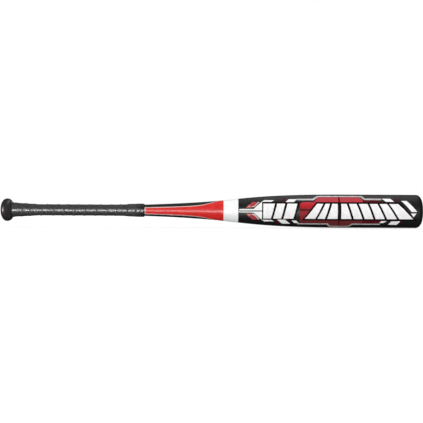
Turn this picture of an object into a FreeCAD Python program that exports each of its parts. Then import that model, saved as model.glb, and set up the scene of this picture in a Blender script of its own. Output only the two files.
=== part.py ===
import FreeCAD, Part
import math
import os

# A two-piece adult baseball bat: a hollow composite handle joined to a hollow alloy barrel through an
# elastomer sleeve. Every piece is round about the long axis.
# Frame: origin at the middle of the knob's end face, +X along the bat to the barrel end, +Z up.
# Stations are distances along +X, in millimetres. A depth is measured inward from the bat's outer skin.

# Over all
LENGTH = 838.2              # 33 in
BARREL_DIAMETER = 66.675    # 2 5/8 in
HANDLE_DIAMETER = 20.0      # bare handle, under the grip
JOINT_DIAMETER = 44.6       # where handle and barrel meet, at the middle of the collar

# Outer skin
HANDLE_STRAIGHT = 215.0     # knob end to the start of the handle's taper
BARREL_STRAIGHT = 147.2     # straight stretch of the barrel, behind the end cap
BARREL_TAPER = 221.6        # middle of the collar to the straight stretch
JOINT_SLOPE = 0.114         # rise of the skin at the joint
HANDLE_EASE_IN = 0.12       # share of a taper's length over which it starts or settles
HANDLE_EASE_OUT = 0.34
BARREL_EASE_IN = 0.17
BARREL_EASE_OUT = 0.59

# Walls and joint
BARREL_WALL = 2.8
HANDLE_WALL = 2.4
COLLAR_WIDTH = 29.2
COLLAR_WALL = 2.4
ISOLATOR_WALL = 2.0
ISOLATOR_LAP = 12.0         # how far the sleeve runs back under the collar
FLARE_LENGTH = 72.0         # how far the handle runs into the barrel
BUILD_UP = 44.0             # thicker handle wall behind the collar
CENTRING_RING_WIDTH = 6.0
FRONT_PLUG_DEPTH = 14.0
FRONT_PLUG_FLANGE = 2.5

# Knob
KNOB_DIAMETER = 45.2
KNOB_FACE_DIAMETER = 12.0
KNOB_NECK_STEP = 0.1        # knob's neck over the grip wrap
KNOB_DOME = 11.3            # end face to the crown
KNOB_CROWN = 0.4            # straight crown
KNOB_FLANK = 10.3           # crown to the neck
BADGE_DIAMETER = 10.0
BADGE_THICKNESS = 0.8
BADGE_CLEARANCE = 0.05
KNOB_FLOOR = 6.0            # solid knob behind the handle's butt
BUTT_PLUG_LENGTH = 34.0

# Grip
CONE_LENGTH = 50.0
CONE_RISE = 3.2             # cone over the handle at the knob
CONE_EDGE = 0.3             # cone over the handle at its thin end
WRAP_THICKNESS = 1.2
WRAP_FRONT = 279.0          # knob end to the wrap's cut end
WRAP_TRIM = 6.0             # bevelled stretch at the cut end
WRAP_EDGE = 0.5
TAPE_THICKNESS = 0.4
TAPE_WIDTH = 33.6
TAPE_OVERRUN = 6.6          # tape that reaches past the wrap on to the bare handle

# End cap
CAP_DOME = 11.0             # barrel mouth to the end of the bat
CAP_FACE_DIAMETER = 36.0
CAP_STEP = 0.12             # cap's rim under the barrel's skin
CAP_SKIRT = 26.0            # skirt inside the barrel
CAP_WALL = 3.2
CAP_RIM = 2.2               # flat rim around the dish
CAP_DISH = 1.8
CAP_DISH_SLANT = 1.4
CAP_FLOOR = 5.0             # thickness behind the dish
BOND_GAP = 0.6
BOND_GROOVES = 3
BOND_GROOVE_DEPTH = 1.0
BOND_GROOVE_WIDTH = 3.0
WEIGHT_DIAMETER = 22.0
WEIGHT_THICKNESS = 7.0
WEIGHT_CUP_WALL = 1.8

os.makedirs("parts", exist_ok=True)

# Stations and radii that follow from the sizes above
barrel_radius = BARREL_DIAMETER / 2
handle_radius = HANDLE_DIAMETER / 2
joint_radius = JOINT_DIAMETER / 2
barrel_mouth = LENGTH - CAP_DOME
straight_start = barrel_mouth - BARREL_STRAIGHT
joint_station = straight_start - BARREL_TAPER
collar_rear = joint_station - COLLAR_WIDTH / 2
collar_front = joint_station + COLLAR_WIDTH / 2
isolator_rear = collar_front - ISOLATOR_LAP
flare_front = collar_front + FLARE_LENGTH
ring_rear = flare_front - CENTRING_RING_WIDTH
handle_in_barrel = BARREL_WALL + ISOLATOR_WALL


def at(x, radius):
    """A point of an outline, from its station and its radius."""
    return FreeCAD.Vector(x, 0, radius)


def taper(x1, r1, slope1, ease1, x2, r2, slope2, ease2):
    """Control points of a smooth taper between two stations."""
    run1 = ease1 * (x2 - x1)
    run2 = ease2 * (x2 - x1)
    return [(x1, r1), (x1 + run1, r1 + slope1 * run1), (x2 - run2, r2 - slope2 * run2), (x2, r2)]


handle_taper = taper(HANDLE_STRAIGHT, handle_radius, 0, HANDLE_EASE_IN,
                     joint_station, joint_radius, JOINT_SLOPE, HANDLE_EASE_OUT)
barrel_taper = taper(joint_station, joint_radius, JOINT_SLOPE, BARREL_EASE_IN,
                     straight_start, barrel_radius, 0, BARREL_EASE_OUT)
STRETCHES = [
    [(0, handle_radius), (HANDLE_STRAIGHT, handle_radius)],
    handle_taper,
    barrel_taper,
    [(straight_start, barrel_radius), (barrel_mouth, barrel_radius)],
]


def curve_through(control_points, depth):
    """The skin's curve over one taper, lowered by a depth."""
    curve = Part.BezierCurve()
    curve.setPoles([at(x, radius - depth) for x, radius in control_points])
    return curve


def parameter_at(curve, x):
    """Where on a curve that always runs forward the station x lies."""
    low = 0.0
    high = 1.0
    for _ in range(60):
        middle = (low + high) / 2
        if curve.value(middle).x < x:
            low = middle
        else:
            high = middle
    return (low + high) / 2


def skin(x_from, x_to, depth=0.0):
    """Edges that follow the outer skin, lowered by a depth, from one station forward to another."""
    edges = []
    for stretch in STRETCHES:
        low = max(stretch[0][0], x_from)
        high = min(stretch[-1][0], x_to)
        if high - low < 1e-6:
            continue
        if len(stretch) == 2:
            radius = stretch[0][1] - depth
            edges.append(Part.makeLine(at(low, radius), at(high, radius)))
        else:
            curve = curve_through(stretch, depth)
            edges.append(curve.toShape(parameter_at(curve, low), parameter_at(curve, high)))
    return edges


def skin_back(x_from, x_to, depth=0.0):
    """The same edges in order from the front station back to the rear one."""
    return list(reversed(skin(x_from, x_to, depth)))


def skin_radius(x, depth=0.0):
    """The skin's radius at a station, lowered by a depth."""
    for stretch in STRETCHES:
        if x > stretch[-1][0]:
            continue
        if len(stretch) == 2:
            return stretch[0][1] - depth
        curve = curve_through(stretch, depth)
        return curve.value(parameter_at(curve, x)).z
    return barrel_radius - depth


def rounded(start, corner, end):
    """A quarter of an ellipse from start to end, inside the corner where its two tangents meet."""
    curve = Part.BezierCurve()
    curve.setPoles([at(*start), at(*corner), at(*end)])
    curve.setWeight(2, math.sqrt(0.5))
    return curve.toShape()


def turned(*outline):
    """A solid turned about the long axis from a closed outline of points and curves, in order."""
    edges = []
    here = at(*outline[0])
    for item in outline[1:] + outline[:1]:
        if isinstance(item, tuple):
            near = at(*item)
            far = near
        else:
            near, far = sorted((item.Vertexes[0].Point, item.Vertexes[-1].Point), key=here.distanceToPoint)
        if here.distanceToPoint(near) > 1e-6:
            edges.append(Part.makeLine(here, near))
        if not isinstance(item, tuple):
            edges.append(item)
        here = far
    face = Part.Face(Part.Wire(Part.__sortEdges__(edges)))
    return face.revolve(FreeCAD.Vector(0, 0, 0), FreeCAD.Vector(1, 0, 0), 360)


def save(name, solid):
    """Write one piece, and stop if it isn't one sound solid."""
    if solid.Volume < 0:
        solid.reverse()
    if not solid.isValid() or len(solid.Solids) != 1 or solid.Volume <= 0:
        raise ValueError(name + " isn't one sound solid")
    solid.exportStep("parts/" + name + ".step")
    print("%-24s %10.0f mm3" % (name, solid.Volume))


# Knob: a moulded dome on the handle's butt, with a blind socket for the tube and a recess for the badge
knob_radius = KNOB_DIAMETER / 2
knob_front = KNOB_DOME + KNOB_CROWN + KNOB_FLANK
badge_radius = BADGE_DIAMETER / 2
face_radius = KNOB_FACE_DIAMETER / 2
cone_radius = handle_radius + CONE_RISE
neck_radius = cone_radius + WRAP_THICKNESS + KNOB_NECK_STEP
recess_radius = badge_radius + BADGE_CLEARANCE
save("knob", turned(
    (BADGE_THICKNESS, 0),
    (BADGE_THICKNESS, recess_radius),
    (0, recess_radius),
    rounded((0, face_radius), (0, knob_radius), (KNOB_DOME, knob_radius)),
    rounded((KNOB_DOME + KNOB_CROWN, knob_radius), (knob_front, knob_radius), (knob_front, neck_radius)),
    (knob_front, handle_radius),
    (KNOB_FLOOR, handle_radius),
    (KNOB_FLOOR, 0)))

# Blank badge let in flush with the knob's end face
save("knob_badge", turned(
    (0, 0),
    (0, badge_radius),
    (BADGE_THICKNESS, badge_radius),
    (BADGE_THICKNESS, 0)))

# Handle: a composite tube that widens forward, is let down under the collar, and flares inside the barrel
bore_radius = handle_radius - HANDLE_WALL
flare_bore_depth = handle_in_barrel + HANDLE_WALL
build_up_rear = collar_rear - BUILD_UP
save("handle_tube", turned(
    (KNOB_FLOOR, bore_radius),
    (KNOB_FLOOR, handle_radius),
    *skin(KNOB_FLOOR, collar_rear),
    *skin(collar_rear, isolator_rear, COLLAR_WALL),
    *skin(isolator_rear, flare_front, handle_in_barrel),
    *skin_back(isolator_rear, flare_front, flare_bore_depth),
    (isolator_rear, skin_radius(isolator_rear, flare_bore_depth)),
    *skin_back(KNOB_FLOOR, build_up_rear, HANDLE_WALL)))

# Foam plug in the tube's butt
save("handle_butt_plug", turned(
    (KNOB_FLOOR, 0),
    (KNOB_FLOOR, bore_radius),
    (KNOB_FLOOR + BUTT_PLUG_LENGTH, bore_radius),
    (KNOB_FLOOR + BUTT_PLUG_LENGTH, 0)))

# Tapered plug in the tube's front end, with a flange over the end of the flare
plug_rear = flare_front - FRONT_PLUG_DEPTH
plug_front = flare_front + FRONT_PLUG_FLANGE
flange_radius = skin_radius(flare_front, handle_in_barrel)
save("handle_front_plug", turned(
    (plug_rear, 0),
    *skin(plug_rear, flare_front, flare_bore_depth),
    (flare_front, flange_radius),
    (plug_front, flange_radius),
    (plug_front, 0)))

# Soft cone that carries the grip up to the knob
cone_front = knob_front + CONE_LENGTH
cone_edge_radius = handle_radius + CONE_EDGE
save("grip_taper_cone", turned(
    (knob_front, handle_radius),
    (knob_front, cone_radius),
    (cone_front, cone_edge_radius),
    (cone_front, handle_radius)))

# Grip wrap: its turns as one sleeve over the cone and the handle, with a bevelled front end
trim_start = WRAP_FRONT - WRAP_TRIM
wrap_end_radius = skin_radius(WRAP_FRONT) + WRAP_EDGE
save("grip_wrap", turned(
    (knob_front, cone_radius),
    (knob_front, cone_radius + WRAP_THICKNESS),
    (cone_front, skin_radius(cone_front, -WRAP_THICKNESS)),
    *skin(cone_front, trim_start, -WRAP_THICKNESS),
    (WRAP_FRONT, wrap_end_radius),
    *skin_back(cone_front, WRAP_FRONT),
    (cone_front, cone_edge_radius)))

# Finishing tape over the wrap's front end and a little of the bare handle
tape_front = WRAP_FRONT + TAPE_OVERRUN
tape_rear = tape_front - TAPE_WIDTH
over_wrap = WRAP_THICKNESS + TAPE_THICKNESS
save("grip_finish_tape", turned(
    (tape_rear, skin_radius(tape_rear, -WRAP_THICKNESS)),
    (tape_rear, skin_radius(tape_rear, -over_wrap)),
    *skin(tape_rear, trim_start, -over_wrap),
    (WRAP_FRONT, wrap_end_radius + TAPE_THICKNESS),
    (tape_front, skin_radius(tape_front, -TAPE_THICKNESS)),
    *skin_back(WRAP_FRONT, tape_front),
    (WRAP_FRONT, wrap_end_radius),
    *skin_back(tape_rear, trim_start, -WRAP_THICKNESS)))

# Collar: a ring moulded in place over the joint, flush with the handle and the barrel
save("transition_collar", turned(
    (collar_rear, skin_radius(collar_rear, COLLAR_WALL)),
    *skin(collar_rear, collar_front),
    *skin_back(collar_rear, collar_front, COLLAR_WALL)))

# Isolator: the elastomer sleeve between the handle's flare and the barrel's neck
save("isolator_sleeve", turned(
    (isolator_rear, skin_radius(isolator_rear, handle_in_barrel)),
    *skin(isolator_rear, collar_front, COLLAR_WALL),
    *skin(collar_front, ring_rear, BARREL_WALL),
    *skin_back(isolator_rear, ring_rear, handle_in_barrel)))

# Firm ring that centres the flare's front edge in the barrel
save("joint_centring_ring", turned(
    (ring_rear, skin_radius(ring_rear, handle_in_barrel)),
    *skin(ring_rear, flare_front, BARREL_WALL),
    *skin_back(ring_rear, flare_front, handle_in_barrel)))

# Barrel: a thin alloy shell, tapered at the neck and open at the mouth
save("barrel_shell", turned(
    (collar_front, skin_radius(collar_front, BARREL_WALL)),
    *skin(collar_front, barrel_mouth),
    *skin_back(collar_front, barrel_mouth, BARREL_WALL)))

# End cap: a dished dome with a grooved skirt inside the barrel and a cup for the weight
barrel_bore = barrel_radius - BARREL_WALL
cap_radius = barrel_radius - CAP_STEP
cap_face_radius = CAP_FACE_DIAMETER / 2
dish_radius = cap_face_radius - CAP_RIM
dish_floor = LENGTH - CAP_DISH
cap_inside = dish_floor - CAP_FLOOR
skirt_rear = barrel_mouth - CAP_SKIRT
skirt_radius = barrel_bore - BOND_GAP
skirt_bore = skirt_radius - BOND_GROOVE_DEPTH - CAP_WALL
weight_radius = WEIGHT_DIAMETER / 2
cup_radius = weight_radius + WEIGHT_CUP_WALL
cup_rear = cap_inside - WEIGHT_THICKNESS
groove_pitch = CAP_SKIRT / BOND_GROOVES
groove_line = []
for groove in range(BOND_GROOVES):
    groove_rear = skirt_rear + (groove + 0.5) * groove_pitch - BOND_GROOVE_WIDTH / 2
    groove_front = groove_rear + BOND_GROOVE_WIDTH
    groove_line += [
        (groove_rear, skirt_radius),
        (groove_rear, skirt_radius - BOND_GROOVE_DEPTH),
        (groove_front, skirt_radius - BOND_GROOVE_DEPTH),
        (groove_front, skirt_radius),
    ]
save("end_cap", turned(
    (skirt_rear, skirt_bore),
    (skirt_rear, skirt_radius),
    *groove_line,
    (barrel_mouth, skirt_radius),
    rounded((barrel_mouth, cap_radius), (LENGTH, cap_radius), (LENGTH, cap_face_radius)),
    (LENGTH, dish_radius),
    (dish_floor, dish_radius - CAP_DISH_SLANT),
    (dish_floor, 0),
    (cap_inside, 0),
    (cap_inside, weight_radius),
    (cup_rear, weight_radius),
    (cup_rear, cup_radius),
    (cap_inside, cup_radius),
    (cap_inside, skirt_bore)))

# Cast bond between the skirt's grooves and the barrel
save("end_cap_bond_ring", turned(
    (skirt_rear, skirt_radius),
    (skirt_rear, barrel_bore),
    (barrel_mouth, barrel_bore),
    (barrel_mouth, skirt_radius),
    *reversed(groove_line)))

# Balance weight pressed into the cap's cup
save("end_cap_balance_weight", turned(
    (cup_rear, 0),
    (cup_rear, weight_radius),
    (cap_inside, weight_radius),
    (cap_inside, 0)))
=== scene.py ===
import math
import bmesh
import bpy
import numpy as np
from mathutils import Matrix, Vector, noise


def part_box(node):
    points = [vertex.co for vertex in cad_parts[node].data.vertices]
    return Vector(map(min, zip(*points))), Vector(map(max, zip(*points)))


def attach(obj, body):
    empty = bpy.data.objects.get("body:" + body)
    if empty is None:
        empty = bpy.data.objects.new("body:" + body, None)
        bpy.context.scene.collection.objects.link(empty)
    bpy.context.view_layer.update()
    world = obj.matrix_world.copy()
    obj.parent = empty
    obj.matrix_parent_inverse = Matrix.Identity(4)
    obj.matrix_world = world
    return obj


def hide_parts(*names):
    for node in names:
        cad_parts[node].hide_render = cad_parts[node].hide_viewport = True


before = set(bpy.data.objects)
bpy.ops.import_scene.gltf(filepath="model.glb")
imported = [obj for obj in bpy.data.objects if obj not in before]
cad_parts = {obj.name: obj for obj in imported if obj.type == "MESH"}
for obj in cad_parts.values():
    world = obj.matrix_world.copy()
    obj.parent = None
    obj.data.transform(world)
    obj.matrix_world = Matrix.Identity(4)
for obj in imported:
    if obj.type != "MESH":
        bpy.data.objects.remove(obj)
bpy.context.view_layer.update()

# A two-piece baseball bat, lying level with its knob at the left and its printed face to the front.
# Sizes are in millimetres. A station is a distance along the bat from the knob's end, an arc is a
# distance round it from the middle of the printed face, upwards, and a lift is a height over the skin.
MM = 0.001


# ---------------------------------------------------------------- the bat's own sizes

OUTWARD = 0.5               # a face counts as outward from this share of its normal


def outward_faces(name):
    """Stations and radii of a turned node's outward faces."""
    found = {}
    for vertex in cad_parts[name].data.vertices:
        x, y, z = vertex.co / MM
        radius = math.hypot(y, z)
        if radius > 0 and (vertex.normal.y * y + vertex.normal.z * z) / radius > OUTWARD:
            found[round(x, 2)] = max(radius, found.get(round(x, 2), 0))
    return found


def reach(name):
    """The rear and front stations of a node."""
    low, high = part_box(name)
    return low.x / MM, high.x / MM


def top_radius(name):
    """A turned node's largest radius."""
    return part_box(name)[1].z / MM


KNOB_FRONT = reach("knob")[1]
CONE_FRONT = reach("grip_taper_cone")[1]
WRAP_FRONT = reach("grip_wrap")[1]
TAPE_REAR, TAPE_FRONT = reach("grip_finish_tape")
COLLAR_REAR, COLLAR_FRONT = reach("transition_collar")
BARREL_REAR, BARREL_MOUTH = reach("barrel_shell")
BAT_END = reach("end_cap")[1]
BARREL_RADIUS = top_radius("barrel_shell")
CONE_RADIUS = top_radius("grip_taper_cone")

STATION_GAP = 3.0           # stations closer than this are thinned out
STATION_MATCH = 0.01        # two stations this close are the same one
STRAIGHT_RISE = 1e-4        # a stretch that rises less than this is straight
TABLE_STEP = 0.5            # step between the table's stations


def skin_table():
    """The bat's outer skin as one smooth run of radii, through the stations that its pieces give."""
    handle_radius = min(outward_faces("handle_tube").values())
    stations = {0.0: handle_radius}
    for name, rear, front in (
        ("handle_tube", 0, COLLAR_REAR),
        ("transition_collar", COLLAR_REAR, COLLAR_FRONT),
        ("barrel_shell", BARREL_REAR, BARREL_MOUTH),
    ):
        for x, radius in sorted(outward_faces(name).items()):
            clear_of_last = x - max(stations) >= STATION_GAP or x >= front - STATION_MATCH
            if rear <= x <= front + STATION_MATCH and clear_of_last:
                stations[x] = max(radius, stations.get(x, 0))
    x = np.array(sorted(stations))
    radius = np.array([stations[key] for key in sorted(stations)])
    gap = np.diff(x)
    rise = np.diff(radius) / gap
    slope = np.zeros(len(x))
    slope[1:-1] = (rise[:-1] * gap[1:] + rise[1:] * gap[:-1]) / (gap[1:] + gap[:-1])
    straight = np.abs(rise) < STRAIGHT_RISE
    slope[:-1][straight] = 0
    slope[1:][straight] = 0
    wanted = np.arange(0, BARREL_MOUTH + TABLE_STEP, TABLE_STEP)
    place = np.clip(np.searchsorted(x, wanted) - 1, 0, len(gap) - 1)
    t = np.clip((wanted - x[place]) / gap[place], 0, 1)
    smooth = (
        (2 * t**3 - 3 * t**2 + 1) * radius[place]
        + (t**3 - 2 * t**2 + t) * gap[place] * slope[place]
        + (3 * t**2 - 2 * t**3) * radius[place + 1]
        + (t**3 - t**2) * gap[place] * slope[place + 1]
    )
    return wanted, smooth


SKIN_STATIONS, SKIN_RADII = skin_table()


def skin(station):
    """The radius of the bat's outer skin at a station."""
    return float(np.interp(station, SKIN_STATIONS, SKIN_RADII))


def on_bat(station, angle, radius):
    """A point in metres. The angle runs from the front face up over the top."""
    return Vector((station, -radius * math.cos(angle), radius * math.sin(angle))) * MM


# ---------------------------------------------------------------- mesh work

SHARP = math.radians(35)    # an edge that turns more than this stays sharp
SIDES = 192                 # points round a turned piece
OUTLINE_STEP = 4.0          # step of a turned piece's outline where it follows the skin
PRINTED_SIDES = (0, 180)    # the front print and the back print, in degrees round the bat
FILM_GRID = (6.0, 1.6)      # a film is cut this fine along and round the bat, to follow the skin
STRIP_MITRE = 0.3           # keeps a sharp corner's mitre short, in a strip
GROWN_MITRE = 0.35          # and in a grown shape


def piece(name, points, faces, finish, slot, *nodes, uv=None):
    """Makes one piece of the bat from a mesh, rides it on the bat and hides the nodes it stands for."""
    mesh = bpy.data.meshes.new(name)
    mesh.from_pydata([tuple(p) for p in points], [], faces)
    if uv:
        layer = mesh.uv_layers.new(name="flat")
        for loop in mesh.loops:
            layer.data[loop.index].uv = uv[loop.vertex_index]
    work = bmesh.new()
    work.from_mesh(mesh)
    bmesh.ops.recalc_face_normals(work, faces=work.faces)
    work.to_mesh(mesh)
    work.free()
    mesh.shade_smooth()
    mesh.set_sharp_from_angle(angle=SHARP)
    mesh.materials.append(finish)
    made = bpy.data.objects.new(name, mesh)
    bpy.context.scene.collection.objects.link(made)
    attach(made, "root")
    if nodes:
        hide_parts(*nodes)
    return made


def turned(name, outline, finish, slot, *nodes):
    """A piece turned from a closed outline of (station, radius) in order round its section."""
    points = []
    rows = []
    for station, radius in outline:
        if radius <= 0:
            rows.append([len(points)] * SIDES)
            points.append(on_bat(station, 0, 0))
            continue
        rows.append(range(len(points), len(points) + SIDES))
        points += [on_bat(station, 2 * math.pi * side / SIDES, radius) for side in range(SIDES)]
    faces = []
    for row, after in zip(rows, rows[1:] + rows[:1]):
        for side in range(SIDES):
            beside = (side + 1) % SIDES
            corners = [row[side], row[beside], after[beside], after[side]]
            corners = [c for i, c in enumerate(corners) if c not in corners[:i]]
            if len(corners) > 2:
                faces.append(corners)
    return piece(name, points, faces, finish, slot, *nodes)


def along(rear, front, lift=0.0):
    """Outline points that follow the skin from one station to another, either way."""
    count = max(1, round(abs(front - rear) / OUTLINE_STEP))
    stations = [rear + (front - rear) * i / count for i in range(count + 1)]
    return [(x, skin(x) + lift) for x in stations]


def rounded(start, corner, end, count=4):
    """Outline points on a quarter of an ellipse inside a corner."""
    points = []
    for i in range(count + 1):
        angle = math.pi / 2 * i / count
        a = 1 - math.sin(angle)
        b = 1 - math.cos(angle)
        points.append(tuple(c + (s - c) * a + (e - c) * b for s, c, e in zip(start, corner, end)))
    return points


def laid(name, shapes, finish, slot, low, high, roll=0.0):
    """A printed film: flat (station, arc) shapes laid round the bat, from a low to a high lift."""
    flat_places = []
    flat = bmesh.new()
    for shape in shapes:
        flat.faces.new([flat.verts.new((x, s, 0)) for x, s in shape])
    bmesh.ops.triangulate(flat, faces=flat.faces)
    for axis, step in enumerate(FILM_GRID):
        places = [v.co[axis] for v in flat.verts]
        cut = math.ceil(min(places) / step) * step
        normal = Vector((1, 0, 0)) if axis == 0 else Vector((0, 1, 0))
        while cut < max(places):
            everything = flat.verts[:] + flat.edges[:] + flat.faces[:]
            bmesh.ops.bisect_plane(flat, geom=everything, dist=1e-5, plane_co=normal * cut, plane_no=normal)
            cut += step
    flat.verts.index_update()
    points = []
    faces = []
    for turn in PRINTED_SIDES:
        start = len(points)
        count = len(flat.verts)
        for lift in (high, low):
            for vertex in flat.verts:
                x, s = vertex.co.x, vertex.co.y
                radius = skin(x)
                flat_places.append((x, s))
                points.append(on_bat(x, s / radius + math.radians(roll + turn), radius + lift))
        for face in flat.faces:
            corners = [start + v.index for v in face.verts]
            faces.append(corners)
            faces.append([c + count for c in reversed(corners)])
        for edge in flat.edges:
            if len(edge.link_faces) == 1:
                a, b = (start + v.index for v in edge.verts)
                faces.append([a, b, b + count, a + count])
    flat.free()
    return piece(name, points, faces, finish, slot, uv=flat_places)


def strip(line, width):
    """The outline of a line of an even width, with mitred corners."""
    half = width / 2
    left = []
    right = []
    for i, point in enumerate(line):
        here = Vector(point)
        before = (here - Vector(line[i - 1])).normalized() if i else None
        after = (Vector(line[i + 1]) - here).normalized() if i + 1 < len(line) else None
        before = before or after
        after = after or before
        middle = (before + after).normalized()
        out = Vector((-middle.y, middle.x)) * half / max(STRIP_MITRE, middle.dot(after))
        left.append(tuple(here + out))
        right.append(tuple(here - out))
    return left + right[::-1]


def grown(shape, margin):
    """A shape that stands out from a convex one by an even margin."""
    corners = [Vector(p) for p in shape]
    area = sum(a.x * b.y - b.x * a.y for a, b in zip(corners, corners[1:] + corners[:1]))
    side = 1 if area > 0 else -1
    out = []
    for i, here in enumerate(corners):
        before = (here - corners[i - 1]).normalized()
        after = (corners[(i + 1) % len(corners)] - here).normalized()
        normal_before = Vector((before.y, -before.x)) * side
        normal_after = Vector((after.y, -after.x)) * side
        middle = (normal_before + normal_after).normalized()
        out.append(tuple(here + middle * margin / max(GROWN_MITRE, middle.dot(normal_after))))
    return out


def both_ways(shapes):
    """Shapes with their mirror images below the middle line."""
    return shapes + [[(x, -s) for x, s in shape[::-1]] for shape in shapes]


# ---------------------------------------------------------------- finishes

def linear(code):
    """A linear colour from an sRGB hex code."""
    channels = [int(code[i:i + 2], 16) / 255 for i in (1, 3, 5)]
    return [c / 12.92 if c <= 0.04045 else ((c + 0.055) / 1.055) ** 2.4 for c in channels] + [1]


def add(tree, kind, inputs=None, stops=None, **settings):
    """Adds a shader node. An input is a plain value, or another node's output, which gets linked."""
    made = tree.nodes.new("ShaderNode" + kind)
    for key, value in settings.items():
        setattr(made, key, value)
    if stops:
        ramp = made.color_ramp.elements
        while len(ramp) < len(stops):
            ramp.new(0.5)
        for element, (place, colour) in zip(ramp, stops):
            element.position = place
            element.color = colour
    for key, value in (inputs or {}).items():
        if isinstance(value, bpy.types.NodeSocket):
            tree.links.new(value, made.inputs[key])
        else:
            made.inputs[key].default_value = value
    return made


def per(size):
    """The scale of a pattern whose features are a size in millimetres."""
    return 1 / (size * MM)


def grey(level):
    """A linear grey."""
    return (level, level, level, 1)


def surface(name, colour, **sockets):
    """A material with one Principled shader, its colour and its constant sockets."""
    material = bpy.data.materials.new(name)
    material.use_nodes = True
    tree = material.node_tree
    shader = tree.nodes["Principled BSDF"]
    shader.inputs["Base Color"].default_value = linear(colour)
    for key, value in sockets.items():
        shader.inputs[key.replace("_", " ")].default_value = value
    where = add(tree, "TexCoord").outputs["Object"]
    return material, tree, shader, where


def mottle(tree, where, size, low, high, detail=3.0):
    """A value that drifts between low and high in patches of a size in millimetres."""
    patches = add(tree, "TexNoise", {"Vector": where, "Scale": per(size), "Detail": detail})
    return add(tree, "MapRange", {0: patches.outputs[0], 1: 0.3, 2: 0.7, 3: low, 4: high}).outputs[0]


def shade_by(tree, shader, value, dark, light):
    """Runs the base colour from a dark to a light hex colour as the value goes from 0 to 1."""
    mix = add(tree, "MixRGB", {0: value, 1: linear(dark), 2: linear(light)})
    tree.links.new(mix.outputs[0], shader.inputs["Base Color"])


def relief(tree, shader, height, depth, strength=1.0, socket="Normal"):
    """Raises the surface by a height map, with a depth in millimetres."""
    bump = add(tree, "Bump", {"Strength": strength, "Distance": depth * MM, "Height": height})
    tree.links.new(bump.outputs[0], shader.inputs[socket])


def moulded(name, dark, light, grain, roughness):
    """Moulded plastic or rubber: an even body colour and the fine grain of a blasted mould."""
    material, tree, shader, where = surface(name, light)
    shade_by(tree, shader, mottle(tree, where, 9.0, 0, 1), dark, light)
    tree.links.new(mottle(tree, where, 4.0, roughness - 0.05, roughness + 0.06), shader.inputs["Roughness"])
    pores = add(tree, "TexNoise", {"Vector": where, "Scale": per(grain), "Detail": 2.0})
    relief(tree, shader, pores.outputs[0], 0.05, 0.15)
    return material


def lacquer(name, dark, light, roughness, coat, coat_roughness, flake=0.0, gloss=0.5, orange_peel=0.012):
    """Sprayed paint under a clear coat: metal flake in the colour, and the coat's faint orange peel."""
    material, tree, shader, where = surface(name, light, Coat_Weight=coat, Coat_Roughness=coat_roughness,
                                            Specular_IOR_Level=gloss)
    drift = mottle(tree, where, 14.0, 0, 1 - flake)
    if flake:
        cells = add(tree, "TexVoronoi", {"Vector": where, "Scale": per(0.5)})
        chip = add(tree, "SeparateColor", {0: cells.outputs["Color"]})
        sparkle = add(tree, "MapRange", {0: chip.outputs[0], 1: 0.0, 2: 1.0, 3: 0.0, 4: flake})
        drift = add(tree, "Math", {0: drift, 1: sparkle.outputs[0]}, operation="ADD").outputs[0]
    shade_by(tree, shader, drift, dark, light)
    scuff = mottle(tree, where, 30.0, roughness - 0.04, roughness + 0.05, 6.0)
    tree.links.new(scuff, shader.inputs["Roughness"])
    peel = add(tree, "TexNoise", {"Vector": where, "Scale": per(2.2), "Detail": 1.0})
    relief(tree, shader, peel.outputs[0], orange_peel, 1.0, "Coat Normal")
    return material


def print_ink(name, dark, light, roughness, metallic=0.0):
    """Screen-printed ink under the clear coat, with the faint mesh grain of the print."""
    material, tree, shader, where = surface(name, light, Metallic=metallic, Specular_IOR_Level=0.08)
    shade_by(tree, shader, mottle(tree, where, 6.0, 0, 1), dark, light)
    tree.links.new(mottle(tree, where, 3.0, roughness - 0.04, roughness + 0.06), shader.inputs["Roughness"])
    weave = add(tree, "TexNoise", {"Vector": where, "Scale": per(0.6), "Detail": 1.0})
    relief(tree, shader, weave.outputs[0], 0.01, 0.5)
    return material


PAINTED_SHADE_REACH = 36.0           # the red's painted light and shade run over this arc, above and below the middle line


def red_ink_with_painted_shade():
    """Transparent red ink whose colour carries painted light and shade: brightest a little above the middle
    line, deep red towards the bottom.
    """
    material, tree, shader, where = surface("barrel_red_ink_painted_shade", "#b53a42", Specular_IOR_Level=0.08)
    arc = add(tree, "SeparateXYZ", {0: add(tree, "UVMap", uv_map="flat").outputs[0]}).outputs[1]
    share = add(tree, "MapRange", {0: arc, 1: -PAINTED_SHADE_REACH, 2: PAINTED_SHADE_REACH, 3: 0.0, 4: 1.0}).outputs[0]
    drift = add(tree, "Math", {0: mottle(tree, where, 5.0, -0.02, 0.02), 1: share}, operation="ADD")
    # these stops are painted light and shade on the red, brightest a little above the middle line and darkest
    # at the bottom
    painted_shade_stops = ((0.05, "#6a2a2c"), (0.18, "#652427"), (0.3, "#7f2327"), (0.42, "#96202a"), (0.5, "#94141c"),
            (0.58, "#981f25"), (0.64, "#b81d25"), (0.7, "#be2b3a"), (0.77, "#b93743"), (0.88, "#b33842"),
            (0.97, "#a03e46"))
    stops = [(place, linear(colour)) for place, colour in painted_shade_stops]
    ramp = add(tree, "ValToRGB", {0: drift.outputs[0]}, stops)
    tree.links.new(ramp.outputs[0], shader.inputs["Base Color"])
    tree.links.new(mottle(tree, where, 3.0, 0.46, 0.56), shader.inputs["Roughness"])
    return material


PORE_PITCH = 5.0            # punched pores of the grip tape, on a staggered grid
PORE_RADIUS = 0.55
EDGE_SHADE = (1.2, 3.4)     # a wound tape's rear edge is rough and carries painted shade up to the first of these, and its face starts at the second
                            # starts at the second
EDGE_ROUGHNESS = 0.85
VINYL_DARKENING = (-13.0, 1.0)  # the vinyl's colour darkens towards the front between these places about the wrap's end


def clear_of_edge(tree, from_rear):
    """Runs from 0 at a wound tape's exposed rear edge to 1 on its face."""
    low, high = EDGE_SHADE
    return add(tree, "MapRange", {0: from_rear, 1: low, 2: high, 3: 0.0, 4: 1.0}).outputs[0]


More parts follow.
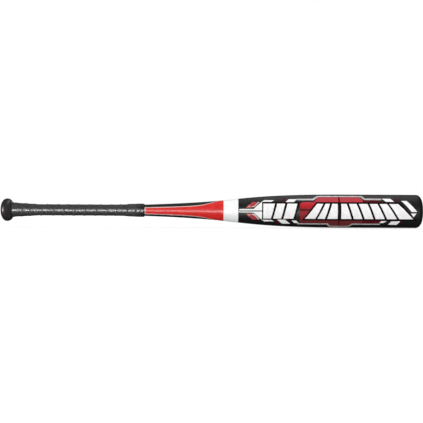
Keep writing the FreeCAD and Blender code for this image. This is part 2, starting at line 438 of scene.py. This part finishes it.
def dull_edges(tree, shader, on_face, roughness):
    """The face keeps its roughness, and the skived edge scatters the light."""
    mix = add(tree, "MixRGB", {0: on_face, 1: grey(EDGE_ROUGHNESS), 2: roughness})
    tree.links.new(mix.outputs[0], shader.inputs["Roughness"])


def grip_leather():
    """Cushioned synthetic leather: pebbled grain, punched pores, and a rougher skived edge, with painted
    shade in the pores and on the edge.
    """
    material, tree, shader, where = surface("grip_synthetic_leather", "#454346", Specular_IOR_Level=0.8)
    tape = add(tree, "UVMap", uv_map="flat").outputs[0]
    split = add(tree, "SeparateXYZ", {0: tape})
    row = add(tree, "Math", {0: split.outputs[1], 1: PORE_PITCH}, operation="DIVIDE")
    row_number = add(tree, "Math", {0: row.outputs[0]}, operation="FLOOR")
    shift = add(tree, "Math", {0: row_number.outputs[0], 1: 0.5}, operation="MULTIPLY")
    column = add(tree, "Math", {0: split.outputs[0], 1: PORE_PITCH}, operation="DIVIDE")
    shifted = add(tree, "Math", {0: column.outputs[0], 1: shift.outputs[0]}, operation="ADD")
    from_centre = []
    for value in (shifted, row):
        part = add(tree, "Math", {0: value.outputs[0]}, operation="FRACT")
        away = add(tree, "Math", {0: part.outputs[0], 1: 0.5}, operation="SUBTRACT")
        from_centre.append(away.outputs[0])
    flat = add(tree, "CombineXYZ", {0: from_centre[0], 1: from_centre[1]})
    distance = add(tree, "VectorMath", {0: flat.outputs[0]}, operation="LENGTH")
    rim = PORE_RADIUS / PORE_PITCH
    pore = add(tree, "MapRange", {0: distance.outputs["Value"], 1: rim * 0.6, 2: rim * 1.3, 3: 0, 4: 1})
    pebble = add(tree, "TexVoronoi", {"Vector": where, "Scale": per(1.3)}, feature="SMOOTH_F1")
    wrinkle = add(tree, "TexNoise", {"Vector": where, "Scale": per(3.0), "Detail": 4.0})
    grain = add(tree, "Math", {0: pebble.outputs[0], 1: -0.6, 2: wrinkle.outputs[0]},
                operation="MULTIPLY_ADD")
    height = add(tree, "Math", {0: grain.outputs[0], 1: pore.outputs[0]}, operation="ADD")
    relief(tree, shader, height.outputs[0], 0.22, 0.42)
    on_face = clear_of_edge(tree, split.outputs[1])
    # the colour drifts at random, and is painted darker in the pores and on the skived edge as painted shade
    tone_and_painted_shade = add(tree, "Math", {0: mottle(tree, where, 5.0, 0.5, 1.0), 1: pore.outputs[0]},
               operation="MULTIPLY")
    tone_and_painted_shade = add(tree, "Math", {0: tone_and_painted_shade.outputs[0], 1: on_face}, operation="MULTIPLY")
    shade_by(tree, shader, tone_and_painted_shade.outputs[0], "#1d1c1d", "#424043")
    dull_edges(tree, shader, on_face, mottle(tree, where, 2.5, 0.3, 0.42))
    return material


def vinyl_tape():
    """Stretched vinyl tape: smooth and dark, with fine lines that run the way it was pulled, a colour that
    darkens towards the front about the wrap's end, and painted shade on its skived edges.
    """
    material, tree, shader, where = surface("vinyl_finishing_tape", "#2c2b2e", Specular_IOR_Level=0.7)
    tape = add(tree, "UVMap", uv_map="flat").outputs[0]
    pulled = add(tree, "Mapping", {"Vector": tape, "Scale": (0.06, 2.4, 1)})
    lines = add(tree, "TexNoise", {"Vector": pulled.outputs[0], "Scale": 1.0, "Detail": 3.0})
    relief(tree, shader, lines.outputs[0], 0.06, 0.5)
    station = add(tree, "SeparateXYZ", {0: where}).outputs[0]
    start, end = [(WRAP_FRONT + place) * MM for place in VINYL_DARKENING]
    darker_forward = add(tree, "MapRange", {0: station, 1: start, 2: end, 3: 1.0, 4: 0.0}).outputs[0]
    on_face = clear_of_edge(tree, add(tree, "SeparateXYZ", {0: tape}).outputs[1])
    # darker towards the front past the wrap's end, and painted shade on the skived edges
    tone_and_painted_shade = add(tree, "Math", {0: darker_forward, 1: on_face}, operation="MULTIPLY")
    shade_by(tree, shader, tone_and_painted_shade.outputs[0], "#1f1d22", "#3e3d3f")
    dull_edges(tree, shader, on_face, mottle(tree, where, 3.0, 0.32, 0.42))
    return material


def turned_steel():
    """Lathe-turned steel: bright, with rings that the tool left."""
    material, tree, shader, where = surface("turned_steel", "#b4b4b8", Metallic=1.0, Roughness=0.34)
    rings = add(tree, "TexWave", {"Vector": where, "Scale": per(1.2)}, wave_type="RINGS", rings_direction="X")
    relief(tree, shader, rings.outputs[0], 0.02, 0.4)
    return material


# moulded and cast pieces, with a fine even grain
KNOB_URETHANE = moulded("knob_moulded_urethane", "#272527", "#323032", 0.45, 0.34)  # satin dark grey
BADGE = moulded("badge_satin_disc", "#1c1c1e", "#29292c", 0.3, 0.42)  # a shade duller than the knob
CAP_POLYMER = moulded("cap_moulded_polymer", "#0e0d0d", "#171616", 0.5, 0.5)  # near black, with a low sheen
ELASTOMER = moulded("isolator_elastomer", "#18181a", "#222224", 0.6, 0.6)  # black rubber, nearly matt
NYLON = moulded("centring_ring_nylon", "#3a3a3a", "#474747", 0.4, 0.45)  # plain mid grey plastic
FOAM = moulded("closed_cell_foam", "#85847e", "#a3a29b", 0.9, 0.85)  # pale and dry
CONE_FOAM = moulded("soft_cone_foam", "#1c1c1d", "#2a2a2b", 0.9, 0.8)  # black and dry
BOND = moulded("cast_urethane_bond", "#4a4a48", "#5c5b58", 0.7, 0.35)  # grey, with some shine

# wound and turned pieces
STEEL = turned_steel()  # bright bare metal
LEATHER = grip_leather()  # dark grey, pebbled, with a satin light on each turn
VINYL = vinyl_tape()  # smoother than the leather, with rough edges that carry painted shade

# paint under a thin clear coat: green black and bright red with a fine flake, plain white, satin black
HANDLE_BLACK = lacquer("handle_black_lacquer", "#091311", "#121f1b", 0.45, 0.12, 0.2, 0.35, gloss=0.35)
HANDLE_RED = lacquer("handle_candy_red", "#cd1916", "#e32c29", 0.4, 0.16, 0.24, 0.25, gloss=0.17,
                     orange_peel=0.004)
COLLAR_WHITE = lacquer("collar_white_polymer", "#f2f3f3", "#fafbfb", 0.45, 0.3, 0.25)
BARREL_BLACK = lacquer("barrel_satin_black", "#0b0a0b", "#161517", 0.5, 0.05, 0.4, 0.3, gloss=0.4)

# inks with hardly any shine; the two silvers hold a little metal
BARREL_RED = red_ink_with_painted_shade()  # red with painted light and shade, bright above and deep red below
BARREL_FEATHER = print_ink("barrel_feather_ink", "#a3353d", "#b4444b", 0.5)  # dull rose
BARREL_MAROON = print_ink("barrel_maroon_ink", "#47090f", "#5e1119", 0.5)  # deep maroon
BARREL_SALMON = print_ink("barrel_salmon_ink", "#cf6f68", "#e08a80", 0.5)  # salmon pink
KEYLINE_BLACK = print_ink("keyline_black_ink", "#0e0406", "#1a080a", 0.5)  # black with a trace of red
PEARL_WHITE = print_ink("pearl_white_ink", "#eceaeb", "#f8f7f7", 0.5)  # off-white
OXBLOOD = print_ink("barrel_oxblood_ink", "#430509", "#560a0e", 0.5)  # the darkest red
SILVER_INK = print_ink("silver_ink", "#aca5a8", "#cdc8ca", 0.45, 0.15)  # grey silver
OUTLINE_SILVER = print_ink("handle_silver_ink", "#d3aeab", "#e6c3c0", 0.45, 0.1)  # warm silver
SHADE_GREY = print_ink("spear_grey_ink", "#858883", "#959893", 0.5)  # mid grey
BLUSH = print_ink("spear_blush_ink", "#d8b6b3", "#e8c9c5", 0.5)  # pale pink

for node, finish in {
    "knob": KNOB_URETHANE,
    "knob_badge": BADGE,
    "handle_butt_plug": FOAM,
    "handle_front_plug": FOAM,
    "grip_taper_cone": CONE_FOAM,
    "isolator_sleeve": ELASTOMER,
    "joint_centring_ring": NYLON,
    "end_cap_bond_ring": BOND,
    "end_cap_balance_weight": STEEL,
}.items():
    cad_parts[node].data.materials.clear()
    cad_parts[node].data.materials.append(finish)


# ---------------------------------------------------------------- handle, collar, barrel and cap

PAINT = 0.12                # how far the painted ground lies under the skin; the print fills it
UNDER = -PAINT - 0.04       # a film's hidden underside, just below the ground
HANDLE_WALL = 2.4           # how thick the visible shells are
BARREL_WALL = 2.8
COLLAR_WALL = 2.4
COLLAR_END = 2.0            # stretch at each end of the collar that its broken edge takes up
EDGE = 0.35                 # broken edge where two pieces meet


def painted_handle():
    """The handle tube, painted as far as the collar."""
    rear = reach("handle_tube")[0]
    outline = along(rear, COLLAR_REAR, -PAINT)
    outline += along(COLLAR_REAR, rear, -HANDLE_WALL)
    turned("painted_handle_tube", outline, HANDLE_BLACK, "handle_lacquer", "handle_tube")


def white_collar():
    """The collar between handle and barrel, with broken edges."""
    outline = rounded((COLLAR_REAR, skin(COLLAR_REAR) - EDGE), (COLLAR_REAR, skin(COLLAR_REAR)),
                      (COLLAR_REAR + EDGE, skin(COLLAR_REAR)))
    outline += along(COLLAR_REAR + COLLAR_END, COLLAR_FRONT - COLLAR_END)
    outline += rounded((COLLAR_FRONT - EDGE, skin(COLLAR_FRONT)), (COLLAR_FRONT, skin(COLLAR_FRONT)),
                       (COLLAR_FRONT, skin(COLLAR_FRONT) - EDGE))
    outline += along(COLLAR_FRONT, COLLAR_REAR, -COLLAR_WALL)
    turned("white_collar", outline, COLLAR_WHITE, "collar_moulding", "transition_collar")


def painted_barrel():
    """The barrel shell, painted from its neck to its mouth."""
    outline = along(BARREL_REAR + EDGE, BARREL_MOUTH - EDGE, -PAINT)
    outline += rounded((BARREL_MOUTH - EDGE, BARREL_RADIUS - PAINT), (BARREL_MOUTH, BARREL_RADIUS - PAINT),
                       (BARREL_MOUTH, BARREL_RADIUS - PAINT - EDGE))
    outline += along(BARREL_MOUTH, BARREL_REAR, -BARREL_WALL)
    turned("painted_barrel_shell", outline, BARREL_BLACK, "barrel_alloy", "barrel_shell")


CAP_RADIUS = BARREL_RADIUS - PAINT
CAP_SKIRT_REAR = reach("end_cap")[0]
CAP_BOND = 0.6              # bond line between the skirt and the barrel
CAP_WALL = 4.2              # the skirt's wall
CAP_FLOOR = 5.0             # thickness behind the dish
CAP_DISH = 1.8              # depth of the dish
CAP_DOME_POINTS = 20
CAP_FACE_RADIUS = 20.5      # where the dome ends and the rim starts
CAP_RIM = ((0.0, 1.5), (0.4, 2.2), (0.9, 2.7))      # over the rim: depth, distance in
CAP_COVE = ((0.6, 3.4), (0.0, 3.7), (0.0, 4.4))     # down to the dish: height over it, distance in
CAP_RING = ((0.0, 8.6), (0.6, 8.1), (0.7, 7.6), (0.7, 6.2), (0.6, 5.7), (0.0, 5.2))     # height, radius


def moulded_cap():
    """The cap: a dome to its rim, a dished face with a raised ring, and a skirt in the barrel."""
    bore = BARREL_RADIUS - BARREL_WALL - CAP_BOND
    inside = BAT_END - CAP_DISH - CAP_FLOOR
    dish = BAT_END - CAP_DISH
    outline = [(CAP_SKIRT_REAR, bore - CAP_WALL), (CAP_SKIRT_REAR, bore), (BARREL_MOUTH, bore)]
    outline += rounded((BARREL_MOUTH, CAP_RADIUS - EDGE), (BARREL_MOUTH, CAP_RADIUS),
                       (BARREL_MOUTH + EDGE, CAP_RADIUS))
    outline += rounded((BARREL_MOUTH + EDGE, CAP_RADIUS), (BAT_END, CAP_RADIUS),
                       (BAT_END, CAP_FACE_RADIUS), CAP_DOME_POINTS)
    outline += rounded(*[(BAT_END - depth, CAP_FACE_RADIUS - inward) for depth, inward in CAP_RIM])
    outline += rounded(*[(dish + height, CAP_FACE_RADIUS - inward) for height, inward in CAP_COVE])
    outline += [(dish + height, radius) for height, radius in CAP_RING]
    outline += [(dish, 0), (inside, 0), (inside, bore - CAP_WALL)]
    turned("moulded_end_cap", outline, CAP_POLYMER, "cap_moulding", "end_cap")


painted_handle()
white_collar()
painted_barrel()
moulded_cap()


# ---------------------------------------------------------------- grip

SEAM_STEPS = 96             # points round each turn of a wound tape
WRAP_WIDTH = 27.0
WRAP_PITCH = 21.0
WRAP_PILE = 1.15            # tape where it lies in one layer
WRAP_LAP = 0.62             # how much a lap stands over one layer
LAP_SETTLES = 2.0           # it has settled this far past the lap
WRAP_SKIVE = 0.66           # how much the rear edge is thinned, and over what width
SKIVE_WIDTH = 2.8
TUCK_WIDTH = 0.9            # the first turn drops to the knob only this close to it
TUCK_RUN = 4.0              # and that comes in as its own edge passes this far under the knob
WRAP_TAIL = 0.5             # how much the front edge is thinned, and over what width
TAIL_WIDTH = 5.0
PUCKERS = ((0.12, 9, 2.6, 0), (0.06, 3, 7, 40))     # depth, length, closeness round the bat, offset
TAPE_CLEAR = 0.02           # a tape's underside stays this far over what it lies on
TAPE_SINK = 0.1             # and reaches this far into the layer below it
CONE_EDGE = 0.3             # the cone's thin end over the handle
WRAP_SEAMS = [1, 21.5, 43, 58, 83, 106, 126, 147, 169, 190, 211, 231, 252, 273]
WRAP_SHARES = [0, 0.01, 0.03, 0.06, 0.1, 0.14, 0.19, 0.25, 0.31, 0.38, 0.47, 0.56, 0.65, 0.74, 0.83, 0.92, 1]
FINISH_WIDTH = 19.0
FINISH_PILE = 0.2
FINISH_SEAMS = [245, 252, 268.5, 277]
FINISH_SHARES = [0, 0.02, 0.05, 0.12, 0.22, 0.34, 0.46, 0.58, 0.7, 0.82, 0.9, 0.95, 0.98, 1]
FINISH_LIFT = 1.55          # the vinyl's first turn over the handle, where it lies on the wrap
FINISH_DROP = 0.35          # how much lower it lies past the wrap's end
DROP_RUN = 8.0              # length of that drop, half of it on each side of the end
FINISH_REAR_THIN = 0.16     # how much its rear and front edges are thinned, and over what width
FINISH_FRONT_THIN = 0.5
FINISH_EDGE_WIDTH = 0.8
FINISH_RIPPLE = (0.05, 2.2, 5)      # depth, length, closeness round the bat


def grip_ground(station):
    """The radius that the grip wrap is wound on: the cone near the knob, then the bare handle."""
    share = (CONE_FRONT - station) / (CONE_FRONT - KNOB_FRONT)
    if share <= 0:
        return skin(station)
    return skin(station) + share * (CONE_RADIUS - skin(KNOB_FRONT)) + (1 - share) * CONE_EDGE


def between(values, place):
    """A smooth value between the members of a list."""
    index = min(int(place), len(values) - 2)
    t = place - index
    a, b = values[index], values[index + 1]
    before = values[index - 1] if index else 2 * a - b
    beyond = values[index + 2] if index + 2 < len(values) else 2 * b - a
    slope_a = (b - before) / 2
    slope_b = (beyond - a) / 2
    return ((2 * t**3 - 3 * t**2 + 1) * a + (t**3 - 2 * t**2 + t) * slope_a
            + (3 * t**2 - 2 * t**3) * b + (t**3 - t**2) * slope_b)


def ease(value):
    """Runs smoothly from 0 to 1 as the value does."""
    value = min(1.0, max(0.0, value))
    return value * value * (3 - 2 * value)


def wound(name, seams, width, shares, section, limits, finish, slot, node):
    """A tape wound on the handle. A seam is where its knob-side edge crosses the front on each turn, and
    a share is a place across its width. Section gives the tape's lower and upper radius at a station,
    from how far that is from both edges. The tape is cut off at the limits."""
    points = []
    uv = []
    steps = (len(seams) - 1) * SEAM_STEPS
    run = 0.0
    for step in range(steps + 1):
        place = step / SEAM_STEPS
        edge = between(seams, place)
        rear = max(limits[0], edge)
        front = min(limits[1], edge + width)
        for layer in (1, 0):
            for share in shares if layer else reversed(shares):
                station = rear + share * (front - rear)
                radius = section(station, station - rear, front - station, place)[layer]
                points.append(on_bat(station, 2 * math.pi * place, radius))
                uv.append((run, station - edge))
        run += 2 * math.pi * grip_ground(edge) / SEAM_STEPS
    ring = 2 * len(shares)
    faces = []
    for step in range(steps):
        for i in range(ring):
            a = step * ring + i
            b = step * ring + (i + 1) % ring
            faces.append([a, b, b + ring, a + ring])
    faces.append(list(range(ring)))
    faces.append(list(range(steps * ring, steps * ring + ring))[::-1])
    piece(name, points, faces, finish, slot, node, uv=uv)


def puckers(station, place):
    """Broad and fine unevenness of the cushioned tape, from how it was pulled."""
    around = 2 * math.pi * place
    height = 0.0
    for depth, length, closeness, offset in PUCKERS:
        across = closeness * math.cos(around)
        up = closeness * math.sin(around) + offset
        height += depth * noise.noise(Vector((station / length, across, up)))
    return height


def wrap_section(station, from_rear, from_front, place):
    """Each turn stands high on the turn before, slopes down to the handle, and has skived edges."""
    lap = WRAP_LAP * (1 - ease(from_rear / (WRAP_WIDTH - WRAP_PITCH + LAP_SETTLES)))
    under_knob = ease((KNOB_FRONT - between(WRAP_SEAMS, place)) / TUCK_RUN)
    skive_width = SKIVE_WIDTH + under_knob * (TUCK_WIDTH - SKIVE_WIDTH)
    skive = WRAP_SKIVE * max(0.0, 1 - from_rear / skive_width) ** 2
    tail = WRAP_TAIL * (1 - ease(from_front / TAIL_WIDTH))
    ground = grip_ground(station)
    upper = ground + WRAP_PILE + lap - skive - tail + puckers(station, place)
    return max(ground + TAPE_CLEAR, upper - WRAP_PILE + TAPE_SINK), upper


def finish_section(station, from_rear, from_front, place):
    """Vinyl pulled tight over the end of the wrap, each turn on the last, to one thick front edge."""
    past = ease((station - WRAP_FRONT + DROP_RUN / 2) / DROP_RUN)
    ground = skin(station) + FINISH_LIFT - FINISH_DROP * past + FINISH_PILE * place
    edge = FINISH_REAR_THIN * max(0.0, 1 - from_rear / FINISH_EDGE_WIDTH) ** 2
    edge += FINISH_FRONT_THIN * max(0.0, 1 - from_front / FINISH_EDGE_WIDTH) ** 2
    depth, length, closeness = FINISH_RIPPLE
    ripple = depth * noise.noise(Vector((station / length, 0, closeness * place)))
    lower = skin(station) + TAPE_CLEAR if station > WRAP_FRONT else ground - TAPE_SINK
    return lower, ground + FINISH_PILE - edge + ripple


KNOB_GAP = 0.2              # the wrap starts this far in front of the knob
wound("wound_grip_wrap", WRAP_SEAMS, WRAP_WIDTH, WRAP_SHARES, wrap_section,
      (KNOB_FRONT + KNOB_GAP, WRAP_FRONT), LEATHER, "grip_wrap", "grip_wrap")
wound("wound_finishing_tape", FINISH_SEAMS, FINISH_WIDTH, FINISH_SHARES, finish_section,
      (TAPE_REAR, TAPE_FRONT), VINYL, "finish_tape", "grip_finish_tape")


# ---------------------------------------------------------------- handle print

HANDLE_ROLL = -5.6          # the handle's panel sits a little low on the front
PANEL_OUTLINE = 1.9         # silver line round the red
PANEL_STEPS = 39            # steps along the panel's edges
PANEL_MEETS = 0.02          # gap left where the front panel meets the back one
# half the panel's width with its outline, from the finishing tape to the collar
PANEL_EDGE = [(286.9, 7.4), (340, 9.2), (376, 11.2), (402, 14.4), (420, 21.0), (434, 28.6), (443.8, 35.0)]


def panel(inset):
    """The panel that opens out to the collar, with its edges drawn in by an inset."""
    rear = PANEL_EDGE[0][0] + inset
    upper = []
    for i in range(PANEL_STEPS + 1):
        x = rear + (COLLAR_REAR - rear) * i / PANEL_STEPS
        quarter_round = math.pi / 2 * skin(x) - PANEL_MEETS
        upper.append((x, min(between_points(PANEL_EDGE, x) - inset, quarter_round)))
    return upper + [(x, -s) for x, s in reversed(upper)]


def between_points(pairs, x):
    """A smooth value at x through pairs in order of x."""
    place = 0
    while place < len(pairs) - 2 and x > pairs[place + 1][0]:
        place += 1
    share = (x - pairs[place][0]) / (pairs[place + 1][0] - pairs[place][0])
    return between([value for _, value in pairs], place + share)


laid("handle_silver_outline", [panel(0.0)], OUTLINE_SILVER, "handle_lacquer", UNDER, -0.06, HANDLE_ROLL)
laid("handle_red_panel", [panel(PANEL_OUTLINE)], HANDLE_RED, "handle_lacquer", UNDER, -0.03, HANDLE_ROLL)


# ---------------------------------------------------------------- barrel print

BAND_LOW = -16.1            # lower and upper edge of the block row
BAND_HIGH = 14.8
KEYLINE = 3.4               # black line round the white blocks
KEYLINE_EXTRA = 0.4         # it's thicker above and below them


def block(rear_low, rear_high, front_low, front_high):
    """A plain block between the row's edges, from the stations of its corners."""
    return [(rear_low, BAND_LOW), (front_low, BAND_LOW), (front_high, BAND_HIGH), (rear_high, BAND_HIGH)]


def taller(shape, extra):
    """A shape with its upper and lower edges moved apart."""
    return [(x, s + math.copysign(extra, s)) for x, s in shape]


def row_outline(blocks):
    """The outline round a row of neighbouring blocks."""
    return [blocks[0][0], blocks[-1][1], blocks[-1][2], blocks[0][3]]


BLOCKS = [
    block(522, 522, 537, 545),
    block(541.5, 549.5, 557, 565),
    block(561.5, 569.5, 581, 589),
    block(604, 628, 624, 640),
    block(628.5, 644.5, 643, 653),
    block(647.5, 657.5, 668, 668),
    block(675, 675, 695.5, 685.5),
    block(700, 690, 717, 705),
    block(721.5, 709.5, 738.5, 726.5),
    block(743, 731, 761, 746),
    block(765.5, 750.5, 785, 765),
    block(789.5, 769.5, 817, 787),
]
RED_GROUND = [(594, -28), (594, 14), (599.5, 18.6), (622, 18.6), (631.5, 32.5), (712, 32.5), (720, 19),
              (720, -28), (697, -28), (691, -36), (655, -36), (649, -28)]
MAROON_GROUND = [[(718, 14), (718, 24), (750, 24), (758, 16)],
                 [(718, -28), (718, -14), (758, -14), (750, -28)]]
SILVER_TOP = [(588.5, 25.2), (620.5, 25.2), (631, 35.6), (715.5, 35.6), (722, 26.3), (755, 26.3)]
SILVER_LOW = [(590, -29.3), (648.5, -29.3), (654.5, -37.8), (691.5, -37.8), (697.5, -29.4), (753, -29.4)]
DIVISIONS = [strip([(671.5, 32.5), (671.5, 17)], 3.2), strip([(671.5, -18), (671.5, -36)], 3.2),
             strip([(594, 1.9), (628, 1.9)], 3.2)]
SPEAR = [[(473.6, 1.4), (475.4, 3.4), (503, 3.6), (519.5, 19.2), (519.5, 0.9), (476, 0.9)]]
SPEAR_WING = [[(519.5, 19.2), (524, 23.6), (543.5, 23.2), (538.5, 19.2)]]
SPEAR_MIDDLE = [strip([(476, -0.5), (519.5, -0.5)], 2.9)]
SPEAR_TRIM = [strip([(500, 8.0), (505, 9.0), (513.5, 18.8)], 1.8),
              strip([(500, -6.4), (505, -8.4), (514, -18.2)], 2.6)]
FEATHER = [[(493.5, 11.6), (499.5, 8.6), (503.0, 9.6), (510.5, 18.6), (502.0, 19.4)]]
FEATHER_ROOT = [[(489.0, 6.2), (497.5, 6.2), (499.5, 7.8), (493.5, 11.6)]]
TICKS = [
    [(566, 18.6), (582, 18.6), (589, 26), (572.5, 26)],
    [(549.5, -18.4), (565.5, -18.4), (575.5, -29.6), (560, -29.6)],
    [(578.5, -20.5), (587, -20.5), (592.5, -27), (584, -27)],
    [(763.5, 20), (779.5, 20), (772.5, 28.2), (756, 28.2)],
    [(754.5, -20.8), (765.5, -20.8), (759, -25.6), (751, -25.6)],
    [(774, -21.5), (792, -20.8), (785.5, -31), (769, -30.4)],
]
SLASHES = [
    strip([(558, 18.8), (565, 30)], 3.4),
    strip([(545.5, -18), (551.5, -30.3)], 3.4),
    strip([(778, 30.3), (784.5, 20)], 1.6),
    strip([(781.8, 30.3), (788.3, 20)], 1.6),
    strip([(794, -21.5), (789, -30)], 2.4),
]
CHEVRON = [[(793.5, 22.4), (804, 22.4), (824.2, -0.8), (813.3, -1.3)],
           [(811.5, -4.4), (822.6, -4.0), (817.4, -11.4)]]

# where films overlap, the one whose face lies higher is the one that shows
laid("barrel_red_ground", [RED_GROUND], BARREL_RED, "barrel_alloy", UNDER, -0.10)
laid("barrel_maroon_ground", MAROON_GROUND + SLASHES, BARREL_MAROON, "barrel_alloy", UNDER, -0.095)
laid("barrel_feathers", both_ways(FEATHER), BARREL_FEATHER, "barrel_alloy", UNDER, -0.09)
laid("barrel_feather_roots", both_ways(FEATHER_ROOT), BARREL_SALMON, "barrel_alloy", UNDER, -0.09)
laid("barrel_divisions", DIVISIONS, OXBLOOD, "barrel_alloy", UNDER, -0.08)
laid("barrel_silver_lines", [strip(SILVER_TOP, 4.2), strip(SILVER_LOW, 3.3)], SILVER_INK, "barrel_alloy",
     UNDER, -0.06)
laid("barrel_spear_trim", SPEAR_TRIM, BLUSH, "barrel_alloy", UNDER, -0.06)
laid("barrel_block_keyline",
     [grown(taller(row_outline(row), KEYLINE_EXTRA), KEYLINE) for row in (BLOCKS[:3], BLOCKS[3:])],
     KEYLINE_BLACK, "barrel_alloy", UNDER, -0.05)
laid("barrel_white_blocks", BLOCKS, PEARL_WHITE, "barrel_alloy", UNDER, -0.02)
laid("barrel_spear", both_ways(SPEAR + SPEAR_WING), PEARL_WHITE, "barrel_alloy", UNDER, -0.03)
laid("barrel_spear_middle", SPEAR_MIDDLE, SHADE_GREY, "barrel_alloy", UNDER, -0.01)
laid("barrel_ticks", TICKS + CHEVRON, PEARL_WHITE, "barrel_alloy", UNDER, -0.03)


# ---------------------------------------------------------------- studio

def studio_surface(name, albedo, glow):
    """Plain matt studio paint, with a glow of its own that brings it up to an even white."""
    material = bpy.data.materials.new(name)
    material.use_nodes = True
    shader = material.node_tree.nodes["Principled BSDF"]
    shader.inputs["Base Color"].default_value = grey(albedo)
    shader.inputs["Roughness"].default_value = 1.0
    shader.inputs["Specular IOR Level"].default_value = 0.0
    shader.inputs["Emission Color"].default_value = grey(1.0)
    shader.inputs["Emission Strength"].default_value = glow
    return material


def camera_only(thing):
    """Lets the camera see a thing that throws no light or shadow on the bat."""
    thing.visible_diffuse = False
    thing.visible_glossy = False
    thing.visible_transmission = False
    thing.visible_shadow = False


FLOOR_REACH = 30.0          # metres from the middle to the floor's sides, and to the backdrop
FLOOR_GAP = 0.001
FLOOR_HEIGHT = -BARREL_RADIUS * MM - FLOOR_GAP
corners = [(x * FLOOR_REACH, y * FLOOR_REACH, FLOOR_HEIGHT) for x, y in ((-1, -1), (1, -1), (1, 1), (-1, 1))]
floor_mesh = bpy.data.meshes.new("studio_floor")
floor_mesh.from_pydata(corners, [], [(0, 1, 2, 3)])
floor_mesh.materials.append(studio_surface("studio_floor_paint", 0.4, 0.64))
floor = bpy.data.objects.new("studio_floor", floor_mesh)
bpy.context.scene.collection.objects.link(floor)
camera_only(floor)

dome_work = bmesh.new()
bmesh.ops.create_uvsphere(dome_work, u_segments=48, v_segments=24, radius=FLOOR_REACH)
dome_mesh = bpy.data.meshes.new("studio_backdrop")
dome_work.to_mesh(dome_mesh)
dome_work.free()
dome_mesh.materials.append(studio_surface("studio_backdrop_paint", 0.0, 1.0))
dome = bpy.data.objects.new("studio_backdrop", dome_mesh)
bpy.context.scene.collection.objects.link(dome)
camera_only(dome)

# the light tent: even, a little stronger from above, and too soft to show in a gloss
world = bpy.data.worlds.new("light_tent")
bpy.context.scene.world = world
world.use_nodes = True
world.cycles_visibility.glossy = False
tent = world.node_tree
height = add(tent, "SeparateXYZ", {0: add(tent, "TexCoord").outputs["Generated"]})
sky = add(tent, "MapRange", {0: height.outputs[2], 1: -1.0, 2: 1.0, 3: 0.4, 4: 1.0})
tent.links.new(sky.outputs[0], tent.nodes["Background"].inputs["Strength"])
tent.nodes["Background"].inputs["Color"].default_value = (1, 1, 1, 1)

MIDDLE = 0.42               # middle of the bat, metres


def softbox(name, place, size, power, gloss_only=False, fill_only=False):
    """A softbox that faces the nearest part of the bat, for its highlight or its fill or both."""
    light = bpy.data.lights.new(name, "AREA")
    light.shape = "RECTANGLE"
    light.size, light.size_y = size
    light.energy = power
    lamp = bpy.data.objects.new(name, light)
    lamp.location = place
    aim = Vector((min(max(place[0], 0.0), BAT_END * MM), 0, 0))
    lamp.rotation_euler = (aim - Vector(place)).to_track_quat("-Z", "Y").to_euler()
    lamp.visible_diffuse = not gloss_only
    lamp.visible_glossy = not fill_only
    bpy.context.scene.collection.objects.link(lamp)
    return lamp


# two fills that light the body colours, and four lamps that show only as highlights
softbox("front_fill", (MIDDLE, -3.0, 0.3), (3.0, 2.0), 36, fill_only=True)
softbox("rear_fill", (MIDDLE, 3.0, 0.8), (3.0, 2.0), 16, fill_only=True)
handle_strip = softbox("handle_strip", (0.01, -2.4, -0.42), (0.82, 0.36), 51, gloss_only=True)
softbox("barrel_softbox", (0.81, 0.3, 1.7), (0.8, 2.0), 9.5, gloss_only=True)
softbox("rear_strip", (MIDDLE, 2.4, 0.5), (2.6, 0.4), 6, gloss_only=True)
softbox("knob_light", (-2.8, -1.2, -0.05), (0.35, 0.5), 110, gloss_only=True)

# the handle's highlight starts at the grip, so its strip is flagged off the knob
off_the_knob = bpy.data.collections.new("off_the_knob")
for node in ("knob", "knob_badge"):
    off_the_knob.objects.link(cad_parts[node])
for member in off_the_knob.collection_objects:
    member.light_linking.link_state = "EXCLUDE"
handle_strip.light_linking.receiver_collection = off_the_knob

CAMERA_AWAY = 1.8           # metres
FRAME_WIDTH = 0.846         # what the frame takes in at the bat
CAMERA_DROP = 0.0019        # metres under the bat's axis
CAMERA_ROLL = 0.26          # degrees
camera = bpy.data.cameras.new("camera")
camera.sensor_width = 36
camera.lens = camera.sensor_width * CAMERA_AWAY / FRAME_WIDTH
eye = bpy.data.objects.new("camera", camera)
eye.location = (MIDDLE, -CAMERA_AWAY, -CAMERA_DROP)
eye.rotation_euler = (Matrix.Rotation(math.radians(90), 4, "X")
                      @ Matrix.Rotation(math.radians(CAMERA_ROLL), 4, "Z")).to_euler()
bpy.context.scene.collection.objects.link(eye)
bpy.context.scene.camera = eye
bpy.context.scene.view_settings.view_transform = "Standard"
